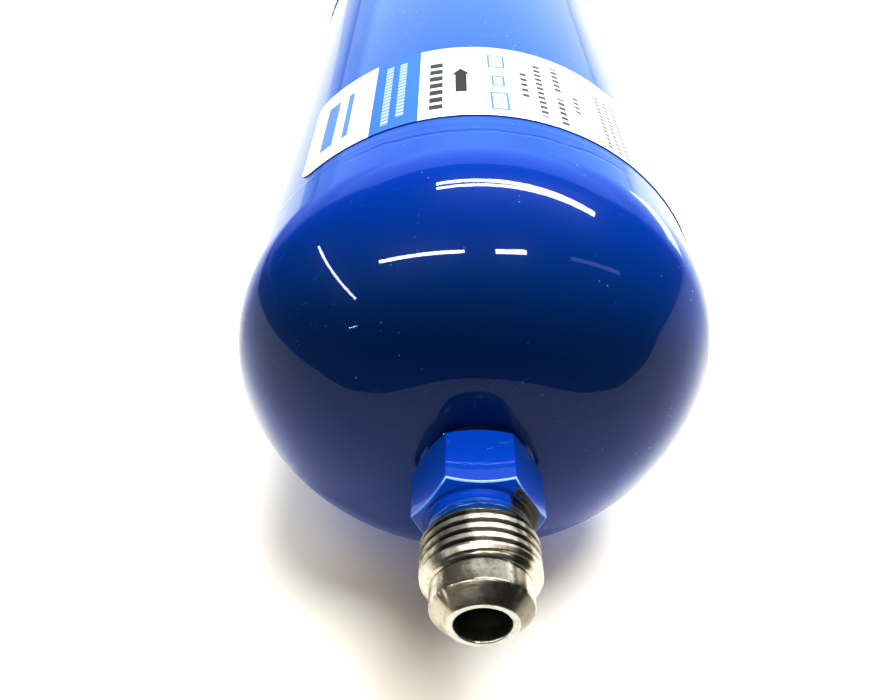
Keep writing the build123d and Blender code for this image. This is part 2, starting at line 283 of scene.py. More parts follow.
class Recipe(Tree):
    """A Geometry Nodes tree with named sizes."""

    def __init__(self, name, **sizes):
        group = bpy.data.node_groups.new(name, "GeometryNodeTree")
        super().__init__(group)
        group.interface.new_socket("Geometry", in_out="OUTPUT", socket_type="NodeSocketGeometry")
        self.sizes = {}
        for key, value in sizes.items():
            kind = "NodeSocketInt" if isinstance(value, int) else "NodeSocketFloat"
            made = group.interface.new_socket(key, in_out="INPUT", socket_type=kind)
            self.sizes[made.identifier] = value
        for key in sizes:
            setattr(self, key, self.node("NodeGroupInput", out=key))

    def sheet(self):
        """A grid to roll round the axis, its angle, and its place along the axis, -0.5 to 0.5."""
        sizes = {"Size_X": 1.0, "Size_Y": 1.0, "Vertices_X": self.Columns, "Vertices_Y": self.Rows}
        grid = self.node("GeometryNodeMeshGrid", None, **sizes)
        across, along, _ = self.parts(self.node("GeometryNodeInputPosition"))
        return grid, (across + 0.5) * (2 * pi), along

    def around_axis(self, radius, turn, y):
        return self.vector(radius * self.maths("SINE", turn), y, radius * self.maths("COSINE", turn))

    def moved(self, geometry, position):
        return self.node("GeometryNodeSetPosition", None, Geometry=geometry, Position=position)

    def welded(self, geometry):
        """Joins the two edges that meet when a sheet is rolled."""
        return self.node("GeometryNodeMergeByDistance", None, Geometry=geometry, Distance=0.002 * MM)

    def smooth(self, geometry):
        return self.node("GeometryNodeSetShadeSmooth", None, Geometry=geometry)

    def baked(self, name, geometry, finish):
        """Ends the tree, runs it and gives its result as a plain mesh."""
        real = self.node("GeometryNodeRealizeInstances", None, geometry)
        covered = self.node("GeometryNodeSetMaterial", None, Geometry=real, Material=finish)
        self.node("NodeGroupOutput", None, covered)
        empty = bpy.data.meshes.new(name)
        mesh = modified(empty, "NODES", {"node_group": self.tree}, self.sizes.items())
        mesh.name = name
        return mesh


# ------------------------------------------------------------------ pieces


def add_piece(name, mesh, finish, slot, *replaced):
    """Puts a finished mesh on the drier in place of the CAD nodes named."""
    if not mesh.materials:
        mesh.materials.append(finish)
    piece = bpy.data.objects.new(name, mesh)
    scene.collection.objects.link(piece)
    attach(piece, "root")
    if replaced:
        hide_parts(*replaced)
    return piece


def finished_mesh(name, shape, sharp_deg=35.0):
    """Closes a bmesh: smooth faces, with the edges past an angle left crisp."""
    mesh = bpy.data.meshes.new(name)
    for face in shape.faces:
        face.smooth = True
    for edge in shape.edges:
        if len(edge.link_faces) == 2 and edge.calc_face_angle(0.0) > radians(sharp_deg):
            edge.smooth = False
    shape.to_mesh(mesh)
    shape.free()
    return mesh


def around_axis(radius, turn, y):
    return Vector((radius * sin(turn), y, radius * cos(turn)))


def skin(shape, near, far):
    """A ring of faces between two rows of points."""
    for k in range(len(near)):
        n = (k + 1) % len(near)
        shape.faces.new((near[k], near[n], far[n], far[k]))


def lathe(shape, rings, columns):
    """Skins rings of (y, radius) points; a radius or y may be a function of the turn."""

    def at(value, turn):
        return value(turn) if callable(value) else value

    turns = [2 * pi * k / columns for k in range(columns)]
    rows = []
    for y, radius in rings:
        rows.append([shape.verts.new(around_axis(at(radius, t), t, at(y, t))) for t in turns])
    for near, far in zip(rows, rows[1:]):
        skin(shape, near, far)
    return rows


def hex_r(turn):
    """Radius of the hexagon, which has a flat on top."""
    off = (turn + pi / 6) % (pi / 3) - pi / 6
    return HEX_FLAT_R / cos(off)


def chamfered(face_y, face_r, share, way):
    """A ring part of the way up the cone that turns back the hexagon's corners."""

    def radius(turn):
        return face_r + (hex_r(turn) - face_r) * share

    def y(turn):
        return face_y + way * (radius(turn) - face_r) * HEX_CHAMFER

    return y, radius


def rounded(y, radius, before, after, size):
    """A small round at a corner of the outline, between the points before and after it."""
    corner = Vector((y, radius))
    a = corner + (Vector(before) - corner).normalized() * size
    b = corner + (Vector(after) - corner).normalized() * size
    return [tuple(a.lerp(corner, t).lerp(corner.lerp(b, t), t)) for t in (0, 0.33, 0.67, 1)]


def thread_barrel(finish):
    """The helical thread: a sheet rolled round the axis and pressed into crests and grooves."""
    r = Recipe(
        "rolled_thread",
        Columns=FITTING_COLUMNS + 1,
        Rows=150,
        Start=LEAD_END,
        Length=THREAD_END - LEAD_END,
        Pitch=THREAD_PITCH,
        First_crest=FIRST_CREST_Y,
        Crest_radius=THREAD_CREST_R,
        Root_radius=THREAD_ROOT_R,
        Lead_radius=LEAD_R,
        Neck_radius=NECK_R,
    )
    grid, turn, along = r.sheet()
    y = r.Start + (along + 0.5) * r.Length
    turns = (y - r.First_crest) / r.Pitch - turn / (2 * pi) + 0.5
    off_crest = r.maths("ABSOLUTE", turns - r.maths("FLOOR", turns) - 0.5)
    groove = r.step(off_crest, 0.25, 0.46)
    lead_mm = LEAD_R / MM
    dents = r.node(
        "ShaderNodeTexNoise", None, Vector=r.around_axis(lead_mm, turn, y / MM), Scale=0.9, Detail=2.0
    )
    worn = r.step(dents, 0.6, 0.8) * (0.09 * MM)
    radius = r.Crest_radius - groove * (r.Crest_radius - r.Root_radius) - worn * (1.0 - groove)
    gone = (y - r.Start) / MM
    lead_in = r.Lead_radius + r.maths("SQRT", gone) * (0.75 * MM) + gone * (0.3 * MM)
    run_out = r.Neck_radius + (r.Start + r.Length - y) * 0.85
    radius = r.maths("SMOOTH_MIN", radius, lead_in, 0.12 * MM)
    radius = r.maths("SMOOTH_MIN", radius, run_out, 0.3 * MM)
    for end_row, end_radius in ((along < -0.499, r.Lead_radius), (along > 0.499, r.Neck_radius)):
        radius = radius * (1.0 - end_row) + end_radius * end_row
    rolled = r.moved(grid, r.around_axis(radius, turn, y))
    return r.baked("rolled_thread", r.welded(rolled), finish)


def dent(shape, y, turn, size, depth):
    """Knocks a shallow dent into the metal."""
    for vert in shape.verts:
        radius = hypot(vert.co.x, vert.co.z)
        if radius < LEAD_R * 0.6:
            continue
        centre = around_axis(radius, turn, y)
        near = (vert.co - centre).length / size
        if near < 2.5:
            outward = Vector((vert.co.x, 0, vert.co.z)).normalized()
            vert.co -= outward * depth * 2.0 ** (-4 * near * near)


def nose_outline():
    """From the lip of the bore, over the flare seat, to the end of the plain lead."""
    seat_end = NOSE_Y + (LEAD_R - NOSE_FACE_R)
    face, shoulder = (NOSE_Y, NOSE_FACE_R), (seat_end, LEAD_R)
    lip = ((0.3, 0.0), (0.1, 0.07), (0.0, 0.24))
    outline = [(NOSE_Y + back * MM, BORE_R + out * MM) for back, out in lip]
    outline += rounded(*face, outline[-1], shoulder, NOSE_ROUND)
    outline += [tuple(Vector(face).lerp(Vector(shoulder), t)) for t in (0.25, 0.5, 0.75)]
    outline += rounded(*shoulder, face, (LEAD_END, LEAD_R), 1.6 * NOSE_ROUND)
    return outline + [(seat_end + t * (LEAD_END - seat_end), LEAD_R) for t in (0.4, 0.6, 0.8, 1.0)]


def neck_outline():
    """The relief neck, with a ridge of paint round it, as far as the hexagon's face."""
    ridge_r = NECK_R + 0.14 * MM
    outline = [(THREAD_END, NECK_R), (RIDGE_Y - 0.5 * MM, NECK_R)]
    outline += [(RIDGE_Y - 0.2 * MM, ridge_r), (RIDGE_Y + 0.15 * MM, ridge_r)]
    outline += [(RIDGE_Y + 0.5 * MM, NECK_R), (HEX_START - 0.35 * MM, NECK_R)]
    outline += [(HEX_START - 0.1 * MM, NECK_R + 0.08 * MM), (HEX_START, NECK_R + 0.3 * MM)]
    up_cone = (HEX_START + HEX_CHAMFER * MM, HEX_FACE_R + MM)
    return outline + rounded(HEX_START, HEX_FACE_R, outline[-1], up_cone, 0.1 * MM)


def tail_outline():
    """The collar, the spigot and its counterbore, and the bore back to the nose."""
    outline = [(HEX_END, COLLAR_R + 0.2 * MM), (HEX_END + 0.1 * MM, COLLAR_R)]
    outline += [(PAD_Y, COLLAR_R), (PAD_Y, SPIGOT_R)]
    outline += [(SPIGOT_END - 0.4 * MM, SPIGOT_R), (SPIGOT_END, SPIGOT_R - 0.4 * MM)]
    outline += [(SPIGOT_END, COUNTERBORE_R), (COUNTERBORE_Y, COUNTERBORE_R)]
    return outline + [(COUNTERBORE_Y - (COUNTERBORE_R - BORE_R), BORE_R), (NOSE_Y + 1.2 * MM, BORE_R)]


def weigh_hexagon_edges(shape):
    """Marks the hexagon's outer edges for the bevel: the six long ones get a narrower one."""
    weights = shape.edges.layers.float.new("bevel_weight_edge")
    slack = 0.01 * MM
    for edge in shape.edges:
        a, b = (v.co for v in edge.verts)
        on_hex = HEX_START - slack < min(a.y, b.y) and max(a.y, b.y) < HEX_END + slack
        outside = min(hypot(a.x, a.z), hypot(b.x, b.z)) > HEX_FLAT_R - 0.5 * slack
        if on_hex and outside and edge.calc_face_angle(0.0) > radians(20):
            lengthwise = abs(a.y - b.y) > max(0.5 * (a - b).length, 3 * MM)
            edge[weights] = 0.45 if lengthwise else 1.0


def flare_fitting(finish):
    """The inlet fitting: flare seat, lead, thread, neck, hexagon, collar, spigot and bore."""
    shape = bmesh.new()
    front = lathe(shape, nose_outline(), FITTING_COLUMNS)
    cone = [chamfered(HEX_START, HEX_FACE_R, share, 1) for share in (0.35, 0.7, 1.0)]
    back = [chamfered(HEX_END, HEX_FLAT_R, share, -1) for share in (1.0, 0.6, 0.0)]
    rows = lathe(shape, neck_outline() + cone + back + tail_outline(), FITTING_COLUMNS)
    skin(shape, rows[-1], front[0])
    shape.from_mesh(thread_barrel(finish))
    bmesh.ops.remove_doubles(shape, verts=shape.verts, dist=0.004 * MM)
    weigh_hexagon_edges(shape)
    for behind, turn, size, depth in DENTS:
        dent(shape, NOSE_Y + behind * MM, radians(turn), size * MM, depth * MM)
    plain = bpy.data.meshes.new("flare_fitting")
    shape.to_mesh(plain)
    shape.free()
    bevel = {"limit_method": "WEIGHT", "width": 0.5 * MM, "segments": 4, "use_clamp_overlap": True}
    shape = bmesh.new()
    shape.from_mesh(modified(plain, "BEVEL", bevel))
    return finished_mesh("flare_fitting", shape, 42.0)


def drawn_cup(name, rim_y):
    """A domed cup, open at rim_y, with a pierced flat pad and an even wall."""
    knuckle_x = SHELL_R - KNUCKLE_R
    run, depth = knuckle_x - PAD_R, TANGENT_Y - PAD_Y
    crown_r = (run**2 + depth**2 - KNUCKLE_R**2) / (2 * (depth - KNUCKLE_R))
    crown_y = PAD_Y + crown_r
    turn_over = atan2(TANGENT_Y - crown_y, run)
    hole_r = SPIGOT_R + 0.05 * MM

    def arc(y, radius, size, start, end, count):
        turns = [start + (end - start) * k / count for k in range(count + 1)]
        return [(y + size * sin(t), radius + size * cos(t)) for t in turns]

    def dome(inset, steps):
        crown = arc(crown_y, PAD_R, crown_r - inset, -pi / 2, turn_over, 2 * steps)
        return crown + arc(TANGENT_Y, knuckle_x, KNUCKLE_R - inset, turn_over, 0.0, steps)[1:]

    inner_r = SHELL_R - SHELL_WALL
    straight = rim_y - RIM_BEVEL - TANGENT_Y
    outline = [(PAD_Y, hole_r)] + dome(0.0, 20)
    outline += [(TANGENT_Y + straight * t, SHELL_R) for t in (0.02, 0.06, 0.3, 0.7, 0.98, 1)]
    outline += [(rim_y, inner_r + 0.5 * MM), (rim_y, inner_r)]
    outline += dome(SHELL_WALL, 8)[::-1] + [(PAD_Y + SHELL_WALL, hole_r)]
    shape = bmesh.new()
    rows = lathe(shape, outline, CUP_COLUMNS)
    skin(shape, rows[-1], rows[0])
    bmesh.ops.recalc_face_normals(shape, faces=shape.faces)
    return finished_mesh(name, shape, 20.0)


def turned_end_for_end(mesh):
    other = mesh.copy()
    other.transform(Matrix.Rotation(pi, 4, "Z"))
    return other


def weld_bead(finish):
    """The girth weld: a low bead whose ripples lean the way that the torch went."""
    r = Recipe(
        "rippled_weld",
        Columns=901,
        Rows=17,
        Start=WELD_NEAR,
        Width=WELD_FAR - WELD_NEAR,
        Shell_radius=SHELL_R - 0.06 * MM,
        Proud=(WELD_PROUD_R - SHELL_R) * 0.75,
        Ripples=118.0,
    )
    grid, turn, along = r.sheet()
    side = along * 2.0
    crown = r.maths("MAXIMUM", 1.0 - side * side, 0.0) ** 0.7
    noise_r = 38.0
    uneven = r.node(
        "ShaderNodeTexNoise", None, Vector=r.around_axis(noise_r, turn, along), Scale=0.16, Detail=2.0
    )
    phase = (turn * r.Ripples / (2 * pi) + side * side * 0.55 + uneven * 1.6) * (2 * pi)
    ripple = 0.84 + 0.16 * r.maths("SINE", phase)
    radius = r.Shell_radius + r.Proud * crown * ripple
    edge = r.maths("MINIMUM", 1.0 + (uneven - 0.62) * 0.35, 1.0)
    y = r.Start + r.Width * 0.5 + along * r.Width * edge
    rolled = r.smooth(r.moved(grid, r.around_axis(radius, turn, y)))
    return r.baked("rippled_weld", r.welded(rolled), finish)


def woven_gauze(name, node, finish):
    """A disc of plain-woven wire."""
    low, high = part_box(node)
    wire_r = (high.y - low.y) / 4
    radius = (high.x - low.x) / 2
    count = int(2 * radius / GAUZE_PITCH)
    r = Recipe(
        "woven_wire",
        Wires=count,
        Points=count * 2,
        Radius=radius - wire_r,
        Wire_radius=wire_r * 0.92,
        Middle=(low.y + high.y) / 2,
    )

    def one_way(swap):
        """All the wires that run one way, each over and under the others in turn."""
        start, stop = (r.vector(r.Radius * way, 0.0, 0.0) for way in (-1.0, 1.0))
        line = r.node("GeometryNodeCurvePrimitiveLine", None, Start=start, End=stop)
        line = r.node("GeometryNodeResampleCurve", None, Curve=line, Count=r.Points)
        step = r.Radius * 2.0 / (r.Wires - 1.0)
        first, offset = r.vector(0.0, 0.0, r.Radius * -1.0), r.vector(0.0, 0.0, step)
        rack = r.node("GeometryNodeMeshLine", None, Count=r.Wires, Start_Location=first, Offset=offset)
        laid = r.node("GeometryNodeInstanceOnPoints", None, Points=rack, Instance=line)
        laid = r.node("GeometryNodeRealizeInstances", None, laid)
        x, _, z = r.parts(r.node("GeometryNodeInputPosition"))
        beat = (x + r.Radius) / step * pi
        even = r.maths("ROUND", (z + r.Radius) / step) * pi
        lift = r.maths("COSINE", beat + even + (pi if swap else 0.0)) * r.Wire_radius
        place = r.vector(z, lift + r.Middle, x) if swap else r.vector(x, lift + r.Middle, z)
        laid = r.moved(laid, place)
        x, _, z = r.parts(r.node("GeometryNodeInputPosition"))
        out = (x * x + z * z) > (r.Radius * r.Radius)
        laid = r.node("GeometryNodeDeleteGeometry", {"domain": "POINT"}, Geometry=laid, Selection=out)
        ring = r.node("GeometryNodeCurvePrimitiveCircle", None, Resolution=4, Radius=r.Wire_radius)
        return r.node("GeometryNodeCurveToMesh", None, Curve=laid, Profile_Curve=ring, Fill_Caps=True)

    both = r.node("GeometryNodeJoinGeometry", None, one_way(False))
    r.tree.links.new(one_way(True).socket, both.socket.node.inputs[0])
    return r.baked(name, r.smooth(both), finish)


def soft_disc(name, node):
    """A felt pad: soft-edged, a little crowned and uneven."""
    low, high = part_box(node)
    radius = high.x
    middle = (low.y + high.y) / 2
    half = (high.y - low.y) / 2

    def placed(side, share):
        def y(turn):
            at = around_axis(radius * share, turn, 0) / (9 * MM)
            lump = noise.noise(at + Vector((0, 3.7 * side, 0)))
            crown = 0.985 - 0.05 * share * share
            return middle + side * half * (crown - 0.05 + 0.05 * lump)

        def r(turn):
            ripple = noise.noise(around_axis(4.0, turn, side))
            return radius * share * (0.994 + 0.006 * ripple)

        return y, r

    face = (0.03, 0.2, 0.4, 0.6, 0.8, 0.9, 0.96)
    rim = ((-0.8, 0.985), (-0.4, 0.997), (0.0, 1.0), (0.4, 0.997), (0.8, 0.985))
    rings = [(-1, share) for share in face] + list(rim) + [(1, share) for share in face[::-1]]
    shape = bmesh.new()
    rows = lathe(shape, [placed(side, share) for side, share in rings], PAD_COLUMNS)
    shape.faces.new(rows[0][::-1])
    shape.faces.new(rows[-1])
    bmesh.ops.recalc_face_normals(shape, faces=shape.faces)
    return finished_mesh(name, shape, 80.0)


def fibre_sleeve(name, node):
    """The glass-fibre sleeve: slightly slack between the flutes of the core under it."""
    low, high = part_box(node)
    outer = high.x
    inner = outer - SLEEVE_THICK
    edge = 0.1 * MM

    def outside(y, end):
        def radius(turn):
            slack = 0.5 - 0.5 * cos(CORE_FLUTES * turn)
            fold = noise.noise(Vector((3 * sin(turn), y / (22 * MM), 3 * cos(turn))))
            return outer - 0.05 * MM - (0.10 * slack + 0.08 * (0.5 + 0.5 * fold)) * MM - end

        return radius

    count = 40
    ys = [low.y + (high.y - low.y) * k / count for k in range(count + 1)]
    rings = [(y, outside(y, 0.12 * MM if k in (0, count) else 0.0)) for k, y in enumerate(ys)]
    rings += [(high.y, inner + edge), (high.y - edge, inner)]
    rings += [(low.y + edge, inner), (low.y, inner + edge)]
    shape = bmesh.new()
    rows = lathe(shape, rings, SLEEVE_COLUMNS)
    skin(shape, rows[-1], rows[0])
    return finished_mesh(name, shape, 50.0)


# ------------------------------------------------------------------ finishes

BLUE = (0.0008, 0.068, 0.355)
PALER_BLUE = (0.0010, 0.073, 0.37)
DUST = (0.62, 0.70, 0.76)
HAIR = (0.55, 0.64, 0.72)
# The marks in the enamel beside the label are placed from this line, near the dome.
MARKS_Y = LABEL_NEAR - 9.9 * MM


def enamel(f):
    """Colour, roughness, coat and height of the blue enamel, for all that it covers."""
    peel = f.noise(2.6 * MM, 1.0, 0.4)
    drag = f.noise(6.5 * MM, 1.0, 0.4)
    sag = f.noise(24 * MM, 1.0, 0.4)
    tone = f.noise(40 * MM)
    drift = f.step(f.noise(22 * MM), 0.38, 0.62)
    specks = (f.cells(2.6 * MM) < 0.03) * (f.lots(2.6 * MM) > 0.86)
    motes = f.cells(1.2 * MM) < (f.lots(1.2 * MM) - 0.93 + drift * 0.2) * 0.6
    dust = f.maths("MINIMUM", specks * 0.9 + motes * 0.45, 1.0)
    fluff = f.noise(3.2 * MM, 1.0)
    hair = f.band(fluff, 0.5, 0.503, 0.003) * f.step(f.noise(2.8 * MM, 0.0), 0.73, 0.76)
    colour = f.mix(dust, f.mix(f.step(tone, 0.3, 0.7), BLUE, PALER_BLUE), DUST)
    colour = f.mix(hair * 0.3, colour, HAIR)
    clear = (1.0 - dust) * (1.0 - hair * 0.5) * 0.55
    turn = f.turn()
    from_line = f.y - MARKS_Y
    right_shoulder = f.band(turn, radians(56), radians(80), 0.1)
    right_shoulder = right_shoulder * f.band(from_line, -6 * MM, 3 * MM, 1 * MM)
    pits = (f.cells(1.7 * MM) < 0.16) * (f.lots(1.7 * MM) > 0.8) * right_shoulder
    wander = (f.noise(5 * MM) - 0.5) * (1.6 * MM) + turn * turn * (-3.0 * MM)
    crease = f.band(from_line - 4.6 * MM + wander, -0.12 * MM, 0.12 * MM, 0.5 * MM)
    crease = crease * f.band(turn, radians(-20), radians(26), 0.25)
    lip = f.band(from_line - 7.6 * MM, -0.2 * MM, 0.2 * MM, 0.7 * MM) * f.step(f.z, -20 * MM, 0.0)
    height = peel * 0.4 + drag * 0.45 + sag * 0.8 + dust * 2.0 - pits * 5.0 - crease * 11.0 + lip * 1.6
    return colour, 0.3 + dust * 0.4, clear, height


def enamel_finish():
    """Thick glossy blue spray enamel with orange peel, slight sags, dust and hairs."""
    f = Finish("gloss_blue_enamel")
    colour, roughness, clear, height = enamel(f)
    return f.done(
        Base_Color=colour,
        Roughness=roughness,
        Specular_IOR_Level=0.04,
        Coat_Weight=clear,
        Coat_Roughness=0.025,
        Coat_IOR=1.38,
        Normal=f.bump(height, 0.02 * MM),
    )


def hexagon_edge_highlight(f, from_nose, radius):
    """1 along the edges where the chamfers' cones meet the flats, where a highlight is painted."""
    off_cone = from_nose - (HEX_START - NOSE_Y) - (radius - HEX_FACE_R) * HEX_CHAMFER
    slant, half = f.x * sin(pi / 3), f.z * 0.5
    flats = [f.maths("ABSOLUTE", value) for value in (f.z, slant + half, slant - half)]
    off_flat = f.maths("MAXIMUM", flats[0], f.maths("MAXIMUM", flats[1], flats[2]))
    return f.band(off_cone, -0.12 * MM, 0.16 * MM, 0.06 * MM) * (off_flat > HEX_FLAT_R - 0.18 * MM)


def sprayed_colour(f, colour, reach, from_nose, radius, edge):
    """The enamel on the fitting: sprayed thinly and teal at its start, with painted shade there in the
    last thread's groove; rubbed on the neck and darkened there as painted shade; with a painted
    highlight along the hexagon's edges, whiter on top.
    """
    # Where the paint starts it is dark teal: partly thin paint over the metal, partly painted shade in
    # the last thread's groove.
    thin_paint_and_shade = f.step(reach + edge * 0.6, -PAINT_EDGE_Y - 0.9 * MM, -PAINT_EDGE_Y - 2.2 * MM)
    colour = f.mix(thin_paint_and_shade, (0.006, 0.042, 0.105), colour)
    on_neck = f.band(from_nose, 11.8 * MM, 14.4 * MM, 0.3 * MM)
    rubbed = f.step(f.noise(0.8 * MM, 3.0, 0.7, f.stretched(0.3, 3.0, 0.3)), 0.52, 0.68)
    # The neck between the thread and the hexagon is darkened as painted shade; the lighter rubbed
    # streaks on it are wear.
    colour = f.mix(on_neck * 0.5, colour, (0.006, 0.048, 0.16))
    colour = f.mix(rubbed * on_neck * 0.5, colour, (0.14, 0.34, 0.62))
    # A painted highlight: whiter along the top flat's edges, bluer along the other edges.
    top = f.step(f.z, 6.7 * MM, 7.3 * MM)
    highlight_blue = f.mix(top, (0.22, 0.50, 0.95), (0.62, 0.80, 0.98))
    return f.mix(hexagon_edge_highlight(f, from_nose, radius) * 0.55, colour, highlight_blue)


def metal_shade_and_grime(f, side, from_nose, blotch):
    """How far the plating is darkened: painted shade down its left and right sides and in blotchy
    patches on the lead's upper side, and grime in the last threads, deepened towards the sides as
    painted shade.
    """
    lead = f.band(from_nose, 2.1 * MM, 5.0 * MM, 0.15 * MM)
    # Blotchy patches on the lead's upper side: painted shade.
    front = lead * f.band(side + blotch * 0.3, -0.3, 0.48, 0.25) * (0.45 + blotch * 0.5)
    grime = f.step(from_nose + blotch * (3 * MM), 7.5 * MM, 11.5 * MM)
    # to_sides deepens the grime towards the sides: painted shade.
    to_sides = f.step(f.maths("ABSOLUTE", side), 0.3, 0.8)
    # Bands down the left and right sides of the metal: painted shade.
    shade_and_grime = f.band(side + blotch * 0.3, -0.6, -0.12, 0.16) * 0.66
    for patch in (f.band(side, 0.62, 0.84, 0.14) * 0.8, front, grime * (0.2 + 0.5 * to_sides)):
        shade_and_grime = f.maths("MAXIMUM", shade_and_grime, patch)
    return shade_and_grime * f.step(from_nose, 1.8 * MM, 2.1 * MM)


def steel_colour(f, side, from_nose, radius, stain, pits):
    """The plated metal: stained and pitted, with a painted reflection on the brown cone, dark and
    lighter towards its left, and a paler ring round the bore.
    """
    blotch = f.noise(1.6 * MM, 3.0, 0.65)
    steel = f.mix(stain, (0.50, 0.48, 0.42), (0.26, 0.23, 0.175))
    steel = f.mix(pits * 0.6, steel, (0.16, 0.13, 0.10))
    # The plating darkened by painted shade and by grime.
    steel = f.mix(metal_shade_and_grime(f, side, from_nose, blotch), steel, (0.045, 0.036, 0.026))
    # The flare cone, dark and lighter towards its left: a painted reflection.
    cone = f.step(from_nose, 2.2 * MM, 1.9 * MM)
    brown = f.step(f.x + blotch * (3 * MM), 2.6 * MM, -0.6 * MM)
    steel = f.mix(cone * 0.8, steel, f.mix(brown, (0.105, 0.10, 0.085), (0.36, 0.325, 0.26)))
    scabs = f.step(f.noise(1.1 * MM, 4.0, 0.7), 0.55, 0.66) * f.step(from_nose, 5.5 * MM, 4.0 * MM)
    steel = f.mix(scabs * 0.6, steel, (0.10, 0.085, 0.065))
    ring = (radius < NOSE_FACE_R + 0.12 * MM) * (from_nose < 0.4 * MM)
    pale = f.mix(blotch, (0.30, 0.30, 0.28), (0.52, 0.52, 0.49))
    return f.mix(ring * (0.95 - scabs * 0.5), steel, pale)


def fitting_finish():
    """Bright plated steel ahead of the thread's end, over-sprayed with enamel behind it."""
    f = Finish("plated_and_painted_fitting")
    side = f.turn()
    radius = f.over("LENGTH", f.vector(f.x, 0.0, f.z), out="Value")
    reach = f.maths("ABSOLUTE", f.y)
    from_nose = reach * -1.0 - NOSE_Y
    colour, gloss, clear, height = enamel(f)

    edge = (f.noise(1.8 * MM, 3.0, 0.6) - 0.5) * (1.6 * MM)
    streaks = f.noise(0.9 * MM, 3.0, 0.7, f.stretched(0.3, 2.6, 0.3))
    chip_zone = f.band(side, radians(40), radians(120), 0.2) * f.band(
        reach, -NOSE_Y - 15.9 * MM, -NOSE_Y - 12.3 * MM, 0.4 * MM
    )
    chips = f.step(streaks + chip_zone * 0.2, 0.6, 0.64) * chip_zone
    painted = f.step(reach + edge, -PAINT_EDGE_Y + 0.12 * MM, -PAINT_EDGE_Y - 0.12 * MM)
    painted = painted * (1.0 - chips) * (radius > 5.2 * MM)
    colour = sprayed_colour(f, colour, reach, from_nose, radius, edge)

    grain = f.noise(0.9 * MM, 3.0, 0.6, f.stretched(1.0, 4.0, 1.0))
    lines = f.noise(0.5 * MM, 1.0, 0.5, f.stretched(0.15, 4.0, 0.15))
    stain = f.step(f.noise(4.2 * MM, 4.0, 0.62), 0.5, 0.68)
    pits = f.step(f.noise(0.7 * MM, 2.0, 0.6), 0.68, 0.76)
    # Inside the bore, darker and rougher: painted shade.
    bore_shade = f.step(reach, -NOSE_Y - 0.2 * MM, -NOSE_Y - 1.4 * MM) * (radius < 4.6 * MM)
    steel = steel_colour(f, side, from_nose, radius, stain, pits)
    steel = f.mix(chips * 0.92, steel, (0.045, 0.040, 0.036))
    steel = f.mix(bore_shade * 0.85, steel, (0.03, 0.028, 0.026))
    rough = 0.24 + grain * 0.14 + stain * 0.12 + pits * 0.2 + bore_shade * 0.2
    bare = f.bump(lines * 0.5 + grain * 0.5 - pits * 0.8, 0.012 * MM, 0.8)
    return f.done(
        Base_Color=f.mix(painted, steel, colour),
        Metallic=1.0 - painted,
        Roughness=rough * (1.0 - painted) + gloss * painted,
        Specular_IOR_Level=0.05,
        Coat_Weight=clear * painted,
        Coat_Roughness=0.03,
        Coat_IOR=1.4,
        Normal=f.bump(painted * 3.0 + height * painted, 0.02 * MM, 1.0, bare),
    )


# The label's layout in millimetres: left and right go round the drier from its top, and low and
# high go along it from the label's near edge.
BLUE_BLOCK = (-16.9, -9.2, -1.0, 29.0)
LOGO_PLACES = ((-26.6, -24.2, 5.0, 21.5, 0.12), (-22.2, -21.2, 5.0, 21.5, 0.1))
MARK_PLACES = ((1.9, 4.6, 2.2, 8.6), (2.3, 4.3, 11.3, 15.2), (1.9, 4.6, 18.6, 24.0))
ARROW_SHAFT = (-3.4, -1.7, 8.7, 15.6)
ARROW_MIDDLE = -2.55
ARROW_TIP = 17.95
# Lines of print: middle, height, low, high, length of a letter and the share of it that is inked.
PALE_PRINT = ((-14.5, 1.2, 2.0, 25.0, 1.25, 0.72), (-12.1, 1.2, 3.4, 24.5, 1.25, 0.72))
BOLD_PRINT = (-6.45, 2.0, 3.0, 21.5, 2.75, 0.62)
FINE_PRINT = (
    (7.5, 1.0, 7.5, 18.6, 2.1, 0.5),
    (10.1, 1.1, 2.4, 22.8, 1.8, 0.55),
    (13.3, 1.1, 1.4, 11.4, 1.8, 0.55),
    (13.3, 1.1, 14.2, 24.0, 1.8, 0.55),
    (16.3, 0.9, 7.4, 14.8, 1.7, 0.5),
    (21.2, 0.8, 1.3, 21.3, 1.4, 0.55),
    (23.0, 0.8, 0.9, 21.2, 1.4, 0.55),
    (24.8, 0.8, 1.0, 21.7, 1.4, 0.55),
)


